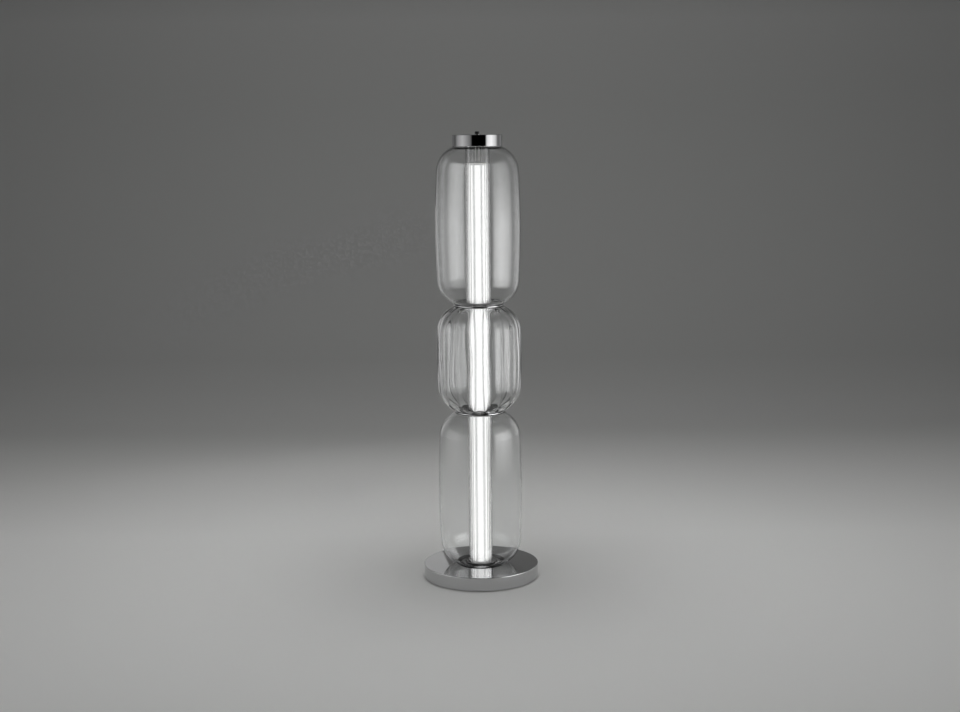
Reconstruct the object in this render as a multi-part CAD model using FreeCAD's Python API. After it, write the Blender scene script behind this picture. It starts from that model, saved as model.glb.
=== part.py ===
import FreeCAD, Part
import math
import os

from FreeCAD import Vector

# Floor lamp: three blown glasses stacked on a polished round base, a reeded light
# column through the middle, one threaded tube that clamps the stack, a cap and a
# screwed finial. Millimetres, +Z up, origin on the floor under the middle of the
# base, viewer at -Y, cord inlet at +Y.

# Small clearances
FIT_GAP = 0.1            # radial gap of a part slid over the threaded tube
LOOSE_GAP = 0.5          # radial gap of a part dropped into another
RUN_GAP = 0.05           # radial gap of a thread or of a turning fit
END_GAP = 0.3            # length left free above a tube
SKIRT_GAP = 0.4          # cap skirt above the glass
CUT_OVERRUN = 1.0        # length by which a cutter passes the face that it opens
SAME_SIZE = 1e-4         # two lengths closer than this are one and the same
HEX_SIDES = 6

# Base
BASE_D = 300.0
BASE_TOP_Z = 36.0
COVER_WALL = 3.0
COVER_TOP_T = 2.5
COVER_EDGE_R = 1.5
COVER_RIM_Z = 1.2
FOOT_RING_T = 2.0
FOOT_RING_INSET = 5.0    # foot ring inside the wall of the cover
FOOT_RING_W = 30.0
FOOT_RING_SOFT_R = 0.6
BASE_PLATE_T = 2.5
PLATE_SCREW_COUNT = 4
PLATE_SCREW_INSET = 45.0 # screw circle inside the edge of the base
PLATE_SCREW_FIRST_DEG = 45.0
PLATE_SCREW_D = 4.0
PLATE_SCREW_HEAD_D = 7.6
PLATE_SCREW_HEAD_T = 1.6
PLATE_SCREW_L = 14.0
SCREW_SOCKET_AF = 2.5          # hexagon socket of a screw head, across flats
SCREW_SOCKET_DEPTH = 0.9

# Cord inlet in the back of the base
GLAND_Z = 17.0
GLAND_BORE_D = 7.2
GLAND_NECK_D = 10.6
GLAND_FLANGE_D = 15.0
GLAND_OUTER_T = 1.3
GLAND_INNER_T = 2.0
GLAND_SINK = 0.3         # outer flange below the round of the base
GLAND_SOFT_R = 0.5

# Driver, terminals and their pockets in the weight
DRIVER_L = 104.0
DRIVER_W = 38.0
DRIVER_H = 20.0
DRIVER_EAR_L = 9.0
DRIVER_EAR_T = 3.0
DRIVER_SOFT_R = 1.5
DRIVER_SCREW_D = 3.0
DRIVER_SCREW_HEAD_D = 5.6
DRIVER_SCREW_HEAD_T = 1.8
TERMINAL_L = 30.0
TERMINAL_W = 17.0
TERMINAL_H = 13.0
TERMINAL_POLES = 3
TERMINAL_WELL_D = 4.4
TERMINAL_WELL_DEPTH = 5.0
TERMINAL_WIRE_D = 2.6
TERMINAL_FROM_DRIVER = 14.0
TERMINAL_FROM_GLAND = 34.0
MAINS_LEAD_D = 2.2
POCKET_GAP = 4.0
INLET_SLOT_W = 30.0
LEAD_SLOT_W = 12.0
LEAD_SLOT_H = 10.0

# Threaded tube and its nuts
TUBE_D = 8.0
TUBE_BORE_D = 5.4
TUBE_NUT_AF = 13.0
TUBE_NUT_T = 4.0
TUBE_WASHER_D = 20.0
TUBE_WASHER_T = 1.5
TUBE_BELOW_NUT = 2.0
FOOT_WEB_T = 14.0        # weight left above the nut below it
NUT_WELL_D = 28.0
LEAD_PORT_D = 3.6
LEAD_PORT_UP = 6.0       # height of a lead port above the foot of its core
LED_LEAD_D = 1.6
LED_LEAD_PITCH = 1.9
LED_LEAD_BEND_R = 5.0
LED_LEAD_Z_UP = 2.0      # underside of the leads above the base plate

# Glasses
GLASS_D = 219.4
GLASS_RIM_D = 128.0
GLASS_RIM_LAND = 6.0     # flat ground edge from rim to mouth
GLASS_WALL = 4.0
SHOULDER_R = 70.0
BARREL_R = 2350.0
TALL_GLASS_H = 401.0
SHORT_GLASS_H = 272.0
RIB_COUNT = 16
RIB_DEPTH = 4.0
RIB_DEPTH_AT_RIM = 3.2
RIB_DEPTH_INSIDE = 3.6   # the inside follows the ribs, a little softer
RIB_TURN_DEG = 180.0 / RIB_COUNT   # from the viewer to the first valley; a rib faces the viewer
SHOULDER_STATIONS = 6
BARREL_STATIONS = 4

# Gaskets, joint discs, column foot and seat plate
GASKET_T = 1.0           # flat ring under the rim of a glass
GASKET_LIP_W = 3.4       # lip in the mouth of the lower glass, on the base
GASKET_LIP_H = 2.0
GASKET_SOFT_R = 0.5
DISC_INSET = 0.5         # edge of a joint disc inside the rim of the glass
DISC_T = 4.0
DISC_EDGE_R = 1.9        # nearly half-round edge
LIP_GAP = 0.6            # lip inside the mouth of the glass
COLLAR_WALL = 10.5       # dark ring round the foot of the column
COLLAR_H = 2.0
COLLAR_EDGE_R = 0.8
FOOT_FLOOR_T = 1.5

# Light column
REED_TUBE_WALL = 2.5     # from the bore to the crest of a reed
REED_COUNT = 32
REED_DEPTH = 1.0
DIFFUSER_D = 56.8
DIFFUSER_WALL = 2.0
CORE_AF = 32.0           # hexagonal extrusion with a light strip on each flat
CORE_WALL = 3.0
STRIP_W = 14.5
STRIP_T = 1.5
STRIP_EDGE_R = 0.6
STRIP_END_GAP = 2.0
UPPER_CLEAR_L = 42.0     # clear reeded tube left above the lit length
PLUG_T = 4.0
PLUG_LIP_T = 1.5

# Seat plate, cap and finial
SEAT_PLATE_T = 4.0
SEAT_GAP = 0.3           # seat plate inside the skirt of the cap
CAP_TOP_Z_ABOVE_SEAT = 24.0
CAP_SKIRT_WALL = 2.5
CAP_WALL = 5.5
CAP_TOP_T = 3.0
CAP_EDGE_R = 0.8
CAP_HOLE_D = 12.0
FINIAL_D = 12.0
FINIAL_H = 7.6
FINIAL_DOME_R = 2.4
FINIAL_FOOT_R = 0.5
FINIAL_SPIGOT_D = 10.0
FINIAL_LIP_D = 11.2
FINIAL_LIP_T = 0.8
FINIAL_LIP_GAP = 0.1
FINIAL_ROOF_T = 1.8
FINIAL_WASHER_D = 16.0
FINIAL_WASHER_T = 1.2
FINIAL_WASHER_GAP = 0.08
FINIAL_THREAD_END_GAP = 0.4

# Radii that follow
BASE_R = BASE_D / 2
TUBE_R = TUBE_D / 2
RIM_R = GLASS_RIM_D / 2
MOUTH_R = RIM_R - GLASS_RIM_LAND
LIP_R = MOUTH_R - LIP_GAP
LIP_BORE_R = LIP_R - GASKET_LIP_W
DISC_R = RIM_R - DISC_INSET
DIFFUSER_R = DIFFUSER_D / 2
REED_BORE_R = DIFFUSER_R + FIT_GAP
REED_TUBE_R = REED_BORE_R + REED_TUBE_WALL
SOCKET_R = REED_TUBE_R + LOOSE_GAP
COLLAR_R = SOCKET_R + COLLAR_WALL
CAP_R = RIM_R
CAP_SKIRT_R = CAP_R - CAP_SKIRT_WALL
SEAT_R = CAP_SKIRT_R - SEAT_GAP
COVER_BORE_R = BASE_R - COVER_WALL
WEIGHT_R = COVER_BORE_R - LOOSE_GAP
FOOT_RING_R = COVER_BORE_R - FOOT_RING_INSET
PLATE_SCREW_R = BASE_R - PLATE_SCREW_INSET

# Levels of the base
PLATE_Z0 = FOOT_RING_T
PLATE_Z1 = PLATE_Z0 + BASE_PLATE_T
WEIGHT_Z1 = BASE_TOP_Z - COVER_TOP_T
NUT_WELL_Z1 = WEIGHT_Z1 - FOOT_WEB_T
FOOT_NUT_Z1 = NUT_WELL_Z1 - TUBE_WASHER_T
TUBE_Z0 = FOOT_NUT_Z1 - TUBE_NUT_T - TUBE_BELOW_NUT
POCKET_Z1 = PLATE_Z1 + DRIVER_H + POCKET_GAP

# Places in the base, from the inlet towards the tube
GLAND_OUTER_Y = math.sqrt(BASE_R ** 2 - (GLAND_FLANGE_D / 2) ** 2) - GLAND_SINK
GLAND_SEAT_Y = GLAND_OUTER_Y - GLAND_OUTER_T
GLAND_INNER_Y = COVER_BORE_R
TERMINAL_Y1 = GLAND_INNER_Y - GLAND_INNER_T - TERMINAL_FROM_GLAND
TERMINAL_Y0 = TERMINAL_Y1 - TERMINAL_W
DRIVER_BACK_Y = TERMINAL_Y0 - TERMINAL_FROM_DRIVER
DRIVER_FRONT_Y = DRIVER_BACK_Y - DRIVER_W
DRIVER_MIDDLE_Y = (DRIVER_FRONT_Y + DRIVER_BACK_Y) / 2
DRIVER_SCREW_X = DRIVER_L / 2 + DRIVER_EAR_L / 2
DRIVER_SCREW_PLACES = [(-DRIVER_SCREW_X, DRIVER_MIDDLE_Y), (DRIVER_SCREW_X, DRIVER_MIDDLE_Y)]
TERMINAL_PITCH = TERMINAL_L / TERMINAL_POLES
TERMINAL_LEAD_Z = PLATE_Z1 + TERMINAL_H / 2

# Levels of the stack, each set on the one below
LOWER_GLASS_Z0 = BASE_TOP_Z + GASKET_T
LOWER_GLASS_Z1 = LOWER_GLASS_Z0 + TALL_GLASS_H
LOWER_DISC_Z0 = LOWER_GLASS_Z1 + GASKET_T
LOWER_DISC_Z1 = LOWER_DISC_Z0 + DISC_T
MIDDLE_GLASS_Z0 = LOWER_DISC_Z1 + GASKET_T
MIDDLE_GLASS_Z1 = MIDDLE_GLASS_Z0 + SHORT_GLASS_H
UPPER_DISC_Z0 = MIDDLE_GLASS_Z1 + GASKET_T
UPPER_DISC_Z1 = UPPER_DISC_Z0 + DISC_T
UPPER_GLASS_Z0 = UPPER_DISC_Z1 + GASKET_T
UPPER_GLASS_Z1 = UPPER_GLASS_Z0 + TALL_GLASS_H
SEAT_Z0 = UPPER_GLASS_Z1 + GASKET_T
SEAT_Z1 = SEAT_Z0 + SEAT_PLATE_T
CAP_Z1 = SEAT_Z1 + CAP_TOP_Z_ABOVE_SEAT
FINIAL_Z0 = CAP_Z1 + FINIAL_WASHER_T
FINIAL_Z1 = FINIAL_Z0 + FINIAL_H
TUBE_Z1 = FINIAL_Z1 - FINIAL_ROOF_T - FINIAL_THREAD_END_GAP

# Levels of the light column
FOOT_FLOOR_Z = BASE_TOP_Z + FOOT_FLOOR_T
UPPER_LIT_Z1 = SEAT_Z0 - UPPER_CLEAR_L
UPPER_CORE_Z1 = UPPER_LIT_Z1 - PLUG_T


def at(r, z):
    return Vector(r, 0, z)


def line(a, b):
    return Part.makeLine(at(*a), at(*b))


def arc(a, middle, b):
    return Part.Arc(at(*a), at(*middle), at(*b)).toShape()


def turn(edges):
    """Solid of revolution about +Z of a closed outline in the r, z half plane."""
    face = Part.Face(Part.Wire(edges))
    return face.revolve(Vector(0, 0, 0), Vector(0, 0, 1), 360)


def turned(corners):
    ends = corners[1:] + corners[:1]
    return turn([line(a, b) for a, b in zip(corners, ends)])


def ring(r_out, r_in, z0, z1):
    return turned([(r_in, z0), (r_out, z0), (r_out, z1), (r_in, z1)])


def post(r, z0, z1, x=0.0, y=0.0):
    return Part.makeCylinder(r, z1 - z0, Vector(x, y, z0))


def box(x0, x1, y0, y1, z0, z1):
    return Part.makeBox(x1 - x0, y1 - y0, z1 - z0, Vector(x0, y0, z0))


def across_flats(width, z0, z1, x=0.0, y=0.0):
    """Upright hexagonal prism with two of its flats facing the viewer and the back."""
    corner_r = width / 2 / math.cos(math.pi / HEX_SIDES)
    turns = [math.tau * k / HEX_SIDES for k in range(HEX_SIDES + 1)]
    points = [Vector(x + corner_r * math.cos(a), y + corner_r * math.sin(a), z0) for a in turns]
    return Part.Face(Part.makePolygon(points)).extrude(Vector(0, 0, z1 - z0))


def rims(shape, r, z):
    """Circular edges of radius r at height z."""
    found = []
    for edge in shape.Edges:
        curve = edge.Curve
        if isinstance(curve, Part.Circle) and abs(curve.Radius - r) < SAME_SIZE:
            if abs(curve.Center.z - z) < SAME_SIZE:
                found.append(edge)
    return found


def soften(shape, radius, *places):
    edges = [edge for r, z in places for edge in rims(shape, r, z)]
    return shape.makeFillet(radius, edges)


def around(count, first_deg, radius):
    turns = [math.radians(first_deg + 360.0 * k / count) for k in range(count)]
    return [(radius * math.cos(a), radius * math.sin(a)) for a in turns]


def lobed_wire(crest_r, depth, count, turn_deg, z):
    """Closed outline of equal convex arcs that meet in valleys, one valley at turn_deg."""
    half = math.pi / count
    first = math.radians(turn_deg) - math.pi / 2
    arcs = []
    for k in range(count):
        a = first + 2 * half * k
        rays = [(crest_r - depth, a), (crest_r, a + half), (crest_r - depth, a + 2 * half)]
        points = [Vector(r * math.cos(t), r * math.sin(t), z) for r, t in rays]
        arcs.append(Part.Arc(*points).toShape())
    return Part.Wire(arcs)


def shoulder_centre(height):
    """Centre of the lower shoulder arc: it starts at the rim and runs into the barrel."""
    bx, bh = GLASS_D / 2 - BARREL_R, height / 2
    dx, dh = RIM_R - bx, -bh
    apart = math.hypot(dx, dh)
    from_barrel = BARREL_R - SHOULDER_R
    along = (from_barrel ** 2 - SHOULDER_R ** 2 + apart ** 2) / (2 * apart)
    aside = math.sqrt(from_barrel ** 2 - along ** 2)
    return bx + (along * dx - aside * dh) / apart, bh + (along * dh + aside * dx) / apart


def shoulder_angles(height, inset):
    """Angles on the shoulder arc at the rim (or at the mouth, inside) and at the barrel."""
    cr, ch = shoulder_centre(height)
    if inset:
        edge_r = MOUTH_R
        start = -math.acos((edge_r - cr) / (SHOULDER_R - inset))
    else:
        start = math.atan2(-ch, RIM_R - cr)
    end = math.atan2(ch - height / 2, cr - (GLASS_D / 2 - BARREL_R))
    return start, end


def on_shoulder(height, inset, angle):
    cr, ch = shoulder_centre(height)
    reach = SHOULDER_R - inset
    return cr + reach * math.cos(angle), ch + reach * math.sin(angle)


def meridian(height, inset):
    """Edges of a glass face from its lower to its upper edge, with the two end points."""
    start, end = shoulder_angles(height, inset)
    low = [on_shoulder(height, inset, a) for a in (start, (start + end) / 2, end)]
    high = [(r, height - h) for r, h in reversed(low)]
    belly = (GLASS_D / 2 - inset, height / 2)
    edges = [arc(*low), arc(low[2], belly, high[0]), arc(*high)]
    return edges, low[0], high[2]


def round_glass(height):
    outer, foot, head = meridian(height, 0)
    inner, mouth_foot, mouth_head = meridian(height, GLASS_WALL)
    foot_land = (MOUTH_R, 0)
    head_land = (MOUTH_R, height)
    ends = [line(foot, foot_land), line(foot_land, mouth_foot)]
    ends += [line(mouth_head, head_land), line(head_land, head)]
    return turn(Part.__sortEdges__(outer + inner + ends))


def rib_stations(height, inset, edge_depth, belly_depth):
    """Crest radius, height and rib depth of a ribbed face, from its edge to the belly."""
    start, end = shoulder_angles(height, inset)
    stations = []
    for k in range(SHOULDER_STATIONS + 1):
        share = k / SHOULDER_STATIONS
        r, h = on_shoulder(height, inset, start + (end - start) * share)
        grown = math.sin(share * math.pi / 2)
        stations.append((r, h, edge_depth + (belly_depth - edge_depth) * grown))
    top_h = stations[-1][1]
    reach = BARREL_R - inset
    for k in range(1, BARREL_STATIONS + 1):
        h = top_h + (height / 2 - top_h) * k / BARREL_STATIONS
        sag = reach - math.sqrt(reach ** 2 - (height / 2 - h) ** 2)
        stations.append((GLASS_D / 2 - inset - sag, h, belly_depth))
    return stations


def ribbed_form(height, inset, edge_depth, belly_depth):
    """Solid inside a ribbed face, lofted through its stations."""
    low = rib_stations(height, inset, edge_depth, belly_depth)
    high = [(r, height - h, depth) for r, h, depth in reversed(low[:-1])]
    wires = [lobed_wire(r, depth, RIB_COUNT, RIB_TURN_DEG, h) for r, h, depth in low + high]
    return Part.makeLoft(wires, True, False)


def ribbed_glass(height):
    """Mould-blown glass: ribs outside, the same ribs softer inside, a round mouth at each end."""
    blank = ribbed_form(height, 0, RIB_DEPTH_AT_RIM, RIB_DEPTH)
    hollow = ribbed_form(height, GLASS_WALL, 0, RIB_DEPTH_INSIDE)
    mouth = post(MOUTH_R, -CUT_OVERRUN, height + CUT_OVERRUN)
    return blank.cut(hollow).cut(mouth)


def gasket(face_z, way, bore_r=SOCKET_R, r_out=DISC_R):
    """Seat of a glass on a face, thicker inside the mouth; a narrow bore takes a reeded tube."""
    rim_z = face_z + way * GASKET_T
    lip_z = rim_z + way * GASKET_LIP_H
    shape = turned([
        (bore_r, face_z), (r_out, face_z), (r_out, rim_z), (LIP_R, rim_z), (LIP_R, lip_z),
        (bore_r, lip_z)])
    return soften(shape, GASKET_SOFT_R, (LIP_R, lip_z))


def cap_screw(d, head_d, head_t, length, x, y, head_z):
    """Screw pointing up from head_z, its head below with a hexagon socket."""
    head = post(head_d / 2, head_z - head_t, head_z, x, y)
    shank = post(d / 2, head_z, head_z + length, x, y)
    foot_z = head_z - head_t
    socket = across_flats(SCREW_SOCKET_AF, foot_z - CUT_OVERRUN, foot_z + SCREW_SOCKET_DEPTH, x, y)
    return head.fuse(shank).cut(socket).removeSplitter()


def joint_disc(z0):
    """Plain disc between two glasses, slipped over the tie tube, with a nearly half-round edge."""
    z1 = z0 + DISC_T
    shape = turned([(TUBE_R + FIT_GAP, z0), (DISC_R, z0), (DISC_R, z1), (TUBE_R + FIT_GAP, z1)])
    return soften(shape, DISC_EDGE_R, (DISC_R, z0), (DISC_R, z1))


def reeded_tube(z0, z1):
    outline = lobed_wire(REED_TUBE_R, REED_DEPTH, REED_COUNT, 0, z0)
    bar = Part.Face(outline).extrude(Vector(0, 0, z1 - z0))
    return bar.cut(post(REED_BORE_R, z0 - CUT_OVERRUN, z1 + CUT_OVERRUN))


def diffuser(z0, z1):
    return ring(DIFFUSER_R, DIFFUSER_R - DIFFUSER_WALL, z0, z1)


def led_core(z0, z1):
    """Hollow hexagonal extrusion with a port for the leads near its foot."""
    bar = across_flats(CORE_AF, z0, z1)
    hollow = across_flats(CORE_AF - 2 * CORE_WALL, z0 - CUT_OVERRUN, z1 + CUT_OVERRUN)
    port = Part.makeCylinder(LEAD_PORT_D / 2, CORE_AF, Vector(0, 0, z0 + LEAD_PORT_UP), Vector(0, 1, 0))
    return bar.cut(hollow).cut(port)


def led_strip(z0, z1):
    """Light strip with a moulded lens, on the back flat of a core."""
    y0 = CORE_AF / 2
    face_y = y0 + STRIP_T
    strip = box(-STRIP_W / 2, STRIP_W / 2, y0, face_y, z0, z1)
    upright = [e for e in strip.Edges if abs(e.CenterOfMass.z - (z0 + z1) / 2) < SAME_SIZE]
    outer = [e for e in upright if abs(e.CenterOfMass.y - face_y) < SAME_SIZE]
    return strip.makeFillet(STRIP_EDGE_R, outer)


def led_strips(z0, z1):
    first = led_strip(z0 + STRIP_END_GAP, z1 - STRIP_END_GAP)
    strips = []
    for k in range(HEX_SIDES):
        strip = first.copy()
        strip.rotate(Vector(0, 0, 0), Vector(0, 0, 1), 360.0 * k / HEX_SIDES)
        strips.append(strip)
    return Part.makeCompound(strips)


def tube_nut(z0):
    nut = across_flats(TUBE_NUT_AF, z0, z0 + TUBE_NUT_T)
    return nut.cut(post(TUBE_R + RUN_GAP, z0 - CUT_OVERRUN, z0 + TUBE_NUT_T + CUT_OVERRUN))


def tube_washer(z0):
    return ring(TUBE_WASHER_D / 2, TUBE_R + FIT_GAP, z0, z0 + TUBE_WASHER_T)


def base_cover():
    hole_r = TUBE_R + LOOSE_GAP
    shell = turned([
        (hole_r, BASE_TOP_Z), (BASE_R, BASE_TOP_Z), (BASE_R, COVER_RIM_Z),
        (COVER_BORE_R, COVER_RIM_Z), (COVER_BORE_R, WEIGHT_Z1), (hole_r, WEIGHT_Z1)])
    shell = soften(shell, COVER_EDGE_R, (BASE_R, BASE_TOP_Z))
    back = Vector(0, 1, 0)
    seat_at = Vector(0, GLAND_SEAT_Y, GLAND_Z)
    seat = Part.makeCylinder(GLAND_FLANGE_D / 2 + FIT_GAP, COVER_WALL, seat_at, back)
    hole = Part.makeCylinder(GLAND_NECK_D / 2, 2 * COVER_WALL, seat_at - 2 * COVER_WALL * back, back)
    flat = box(
        -GLAND_FLANGE_D / 2, GLAND_FLANGE_D / 2, GLAND_INNER_Y - COVER_WALL, GLAND_INNER_Y,
        COVER_RIM_Z - CUT_OVERRUN, WEIGHT_Z1)
    return shell.cut(seat).cut(hole).cut(flat)


def cable_gland():
    """Grommet about the inlet axis: outer flange, neck through the wall, inner flange."""
    bore_r = GLAND_BORE_D / 2
    neck_r = GLAND_NECK_D / 2
    flange_r = GLAND_FLANGE_D / 2
    shape = turned([
        (bore_r, GLAND_INNER_Y - GLAND_INNER_T), (flange_r, GLAND_INNER_Y - GLAND_INNER_T),
        (flange_r, GLAND_INNER_Y), (neck_r, GLAND_INNER_Y), (neck_r, GLAND_SEAT_Y),
        (flange_r, GLAND_SEAT_Y), (flange_r, GLAND_OUTER_Y), (bore_r, GLAND_OUTER_Y)])
    shape = soften(shape, GLAND_SOFT_R, (flange_r, GLAND_OUTER_Y))
    shape.rotate(Vector(0, 0, 0), Vector(1, 0, 0), -90)
    shape.translate(Vector(0, 0, GLAND_Z))
    return shape


def plate_screw_places():
    return around(PLATE_SCREW_COUNT, PLATE_SCREW_FIRST_DEG, PLATE_SCREW_R)


def base_plate():
    plate = post(WEIGHT_R, PLATE_Z0, PLATE_Z1)
    for x, y in plate_screw_places():
        hole_r = PLATE_SCREW_D / 2 + FIT_GAP
        plate = plate.cut(post(hole_r, PLATE_Z0 - CUT_OVERRUN, PLATE_Z1 + CUT_OVERRUN, x, y))
    for x, y in DRIVER_SCREW_PLACES:
        hole_r = DRIVER_SCREW_D / 2 + RUN_GAP
        plate = plate.cut(post(hole_r, PLATE_Z0 - CUT_OVERRUN, PLATE_Z1 + CUT_OVERRUN, x, y))
    return plate


def base_weight():
    """Cast disc that fills the base, with pockets for the driver, terminals and leads."""
    weight = post(WEIGHT_R, PLATE_Z1, WEIGHT_Z1)
    below = PLATE_Z1 - CUT_OVERRUN
    half_l = DRIVER_L / 2 + DRIVER_EAR_L + POCKET_GAP
    pocket = box(-half_l, half_l, DRIVER_FRONT_Y - POCKET_GAP, DRIVER_BACK_Y + POCKET_GAP, below, POCKET_Z1)
    inlet = box(
        -INLET_SLOT_W / 2 - POCKET_GAP, INLET_SLOT_W / 2 + POCKET_GAP, DRIVER_BACK_Y, BASE_R,
        below, POCKET_Z1)
    lead_slot = box(-LEAD_SLOT_W / 2, LEAD_SLOT_W / 2, 0, DRIVER_FRONT_Y, below, PLATE_Z1 + LEAD_SLOT_H)
    nut_well = post(NUT_WELL_D / 2, below, NUT_WELL_Z1)
    tube_hole = post(TUBE_R + LOOSE_GAP, below, WEIGHT_Z1 + CUT_OVERRUN)
    for cutter in (pocket, inlet, lead_slot, nut_well, tube_hole):
        weight = weight.cut(cutter)
    screw_top = PLATE_Z0 + PLATE_SCREW_L + CUT_OVERRUN
    for x, y in plate_screw_places():
        weight = weight.cut(post(PLATE_SCREW_D / 2 + RUN_GAP, below, screw_top, x, y))
    return weight


def led_driver():
    case = box(
        -DRIVER_L / 2, DRIVER_L / 2, DRIVER_FRONT_Y, DRIVER_BACK_Y, PLATE_Z1, PLATE_Z1 + DRIVER_H)
    top = [e for e in case.Edges if abs(e.CenterOfMass.z - PLATE_Z1) > SAME_SIZE]
    case = case.makeFillet(DRIVER_SOFT_R, top)
    ear_x = DRIVER_L / 2 + DRIVER_EAR_L
    ears = box(-ear_x, ear_x, DRIVER_FRONT_Y, DRIVER_BACK_Y, PLATE_Z1, PLATE_Z1 + DRIVER_EAR_T)
    driver = case.fuse(ears).removeSplitter()
    for x, y in DRIVER_SCREW_PLACES:
        hole_r = DRIVER_SCREW_D / 2 + FIT_GAP
        driver = driver.cut(post(hole_r, PLATE_Z1 - CUT_OVERRUN, PLATE_Z1 + DRIVER_H, x, y))
    return driver


def driver_screws():
    seat_z = PLATE_Z1 + DRIVER_EAR_T
    screws = []
    for x, y in DRIVER_SCREW_PLACES:
        length = seat_z - PLATE_Z0
        screw = cap_screw(DRIVER_SCREW_D, DRIVER_SCREW_HEAD_D, DRIVER_SCREW_HEAD_T, length, x, y, 0)
        screw.rotate(Vector(x, y, 0), Vector(1, 0, 0), 180)
        screw.translate(Vector(0, 0, seat_z))
        screws.append(screw)
    return Part.makeCompound(screws)


def terminal_places():
    return [TERMINAL_PITCH * (k - (TERMINAL_POLES - 1) / 2) for k in range(TERMINAL_POLES)]


def terminal_block():
    z1 = PLATE_Z1 + TERMINAL_H
    block = box(-TERMINAL_L / 2, TERMINAL_L / 2, TERMINAL_Y0, TERMINAL_Y1, PLATE_Z1, z1)
    middle_y = (TERMINAL_Y0 + TERMINAL_Y1) / 2
    for x in terminal_places():
        block = block.cut(post(TERMINAL_WELL_D / 2, z1 - TERMINAL_WELL_DEPTH, z1 + CUT_OVERRUN, x, middle_y))
        start = Vector(x, TERMINAL_Y0 - CUT_OVERRUN, TERMINAL_LEAD_Z)
        length = TERMINAL_W + 2 * CUT_OVERRUN
        block = block.cut(Part.makeCylinder(TERMINAL_WIRE_D / 2, length, start, Vector(0, 1, 0)))
    return block


def mains_leads():
    """Short insulated leads from each terminal to the driver."""
    length = TERMINAL_FROM_DRIVER + TERMINAL_W / 3
    leads = []
    for x in terminal_places():
        start = Vector(x, DRIVER_BACK_Y, TERMINAL_LEAD_Z)
        leads.append(Part.makeCylinder(MAINS_LEAD_D / 2, length, start, Vector(0, 1, 0)))
    return Part.makeCompound(leads)


def led_leads():
    """Pair of leads from the driver into the foot of the tube and up to the upper core."""
    lead_z = PLATE_Z1 + LED_LEAD_Z_UP
    bend = LED_LEAD_BEND_R
    low = bend * (1 - math.sqrt(0.5))
    top_z = UPPER_DISC_Z1 + LEAD_PORT_UP
    leads = []
    for x in (-LED_LEAD_PITCH / 2, LED_LEAD_PITCH / 2):
        start = Vector(x, DRIVER_FRONT_Y, lead_z)
        turn_in = Vector(x, bend, lead_z)
        turn_mid = Vector(x, low, lead_z + low)
        turn_out = Vector(x, 0, lead_z + bend)
        path = Part.Wire([
            Part.makeLine(start, turn_in), Part.Arc(turn_in, turn_mid, turn_out).toShape(),
            Part.makeLine(turn_out, Vector(x, 0, top_z))])
        section = Part.Wire(Part.makeCircle(LED_LEAD_D / 2, start, Vector(0, -1, 0)))
        leads.append(path.makePipeShell([section], True, False))
    return Part.makeCompound(leads)


def base_plate_screws():
    screws = []
    for x, y in plate_screw_places():
        screws.append(cap_screw(
            PLATE_SCREW_D, PLATE_SCREW_HEAD_D, PLATE_SCREW_HEAD_T, PLATE_SCREW_L, x, y, PLATE_Z0))
    return Part.makeCompound(screws)


def foot_ring():
    inner_r = FOOT_RING_R - FOOT_RING_W
    shape = ring(FOOT_RING_R, inner_r, 0, FOOT_RING_T)
    return soften(shape, FOOT_RING_SOFT_R, (FOOT_RING_R, 0), (inner_r, 0))


def column_foot():
    """Dark shallow cup on the base that holds the foot of the light column."""
    top = FOOT_FLOOR_Z + COLLAR_H
    shape = turned([
        (TUBE_R + FIT_GAP, BASE_TOP_Z), (COLLAR_R, BASE_TOP_Z), (COLLAR_R, top), (SOCKET_R, top),
        (SOCKET_R, FOOT_FLOOR_Z), (TUBE_R + FIT_GAP, FOOT_FLOOR_Z)])
    return soften(shape, COLLAR_EDGE_R, (COLLAR_R, top))


def tie_tube():
    tube = ring(TUBE_R, TUBE_BORE_D / 2, TUBE_Z0, TUBE_Z1)
    for core_z0 in (FOOT_FLOOR_Z, LOWER_DISC_Z1, UPPER_DISC_Z1):
        start = Vector(0, 0, core_z0 + LEAD_PORT_UP)
        tube = tube.cut(Part.makeCylinder(LEAD_PORT_D / 2, TUBE_D, start, Vector(0, 1, 0)))
    return tube


def diffuser_plug():
    """Lid of the upper diffuser: a lip on its end, a plug inside it, a hole for the tube."""
    plug_r = DIFFUSER_R - DIFFUSER_WALL - FIT_GAP
    hole_r = TUBE_R + FIT_GAP
    z0 = UPPER_CORE_Z1
    z1 = UPPER_LIT_Z1 + PLUG_LIP_T
    return turned([
        (hole_r, z0), (plug_r, z0), (plug_r, UPPER_LIT_Z1), (DIFFUSER_R, UPPER_LIT_Z1),
        (DIFFUSER_R, z1), (hole_r, z1)])


def seat_plate():
    """Flat plate on the upper glass that the nut clamps and the cap sits on."""
    bore_r = TUBE_R + FIT_GAP
    return turned([(bore_r, SEAT_Z0), (SEAT_R, SEAT_Z0), (SEAT_R, SEAT_Z1), (bore_r, SEAT_Z1)])


def top_cap():
    """Cup over the clamp nut, stepped inside to sit on the seat plate."""
    wall_r = CAP_R - CAP_WALL
    skirt_z = UPPER_GLASS_Z1 + SKIRT_GAP
    roof_z = CAP_Z1 - CAP_TOP_T
    shape = turned([
        (CAP_HOLE_D / 2, CAP_Z1), (CAP_HOLE_D / 2, roof_z), (wall_r, roof_z), (wall_r, SEAT_Z1),
        (CAP_SKIRT_R, SEAT_Z1), (CAP_SKIRT_R, skirt_z), (CAP_R, skirt_z), (CAP_R, CAP_Z1)])
    return soften(shape, CAP_EDGE_R, (CAP_R, CAP_Z1), (CAP_R, skirt_z))


def finial_washer():
    bore_r = FINIAL_SPIGOT_D / 2 + FINIAL_WASHER_GAP
    return ring(FINIAL_WASHER_D / 2, bore_r, CAP_Z1, FINIAL_Z0)


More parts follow.
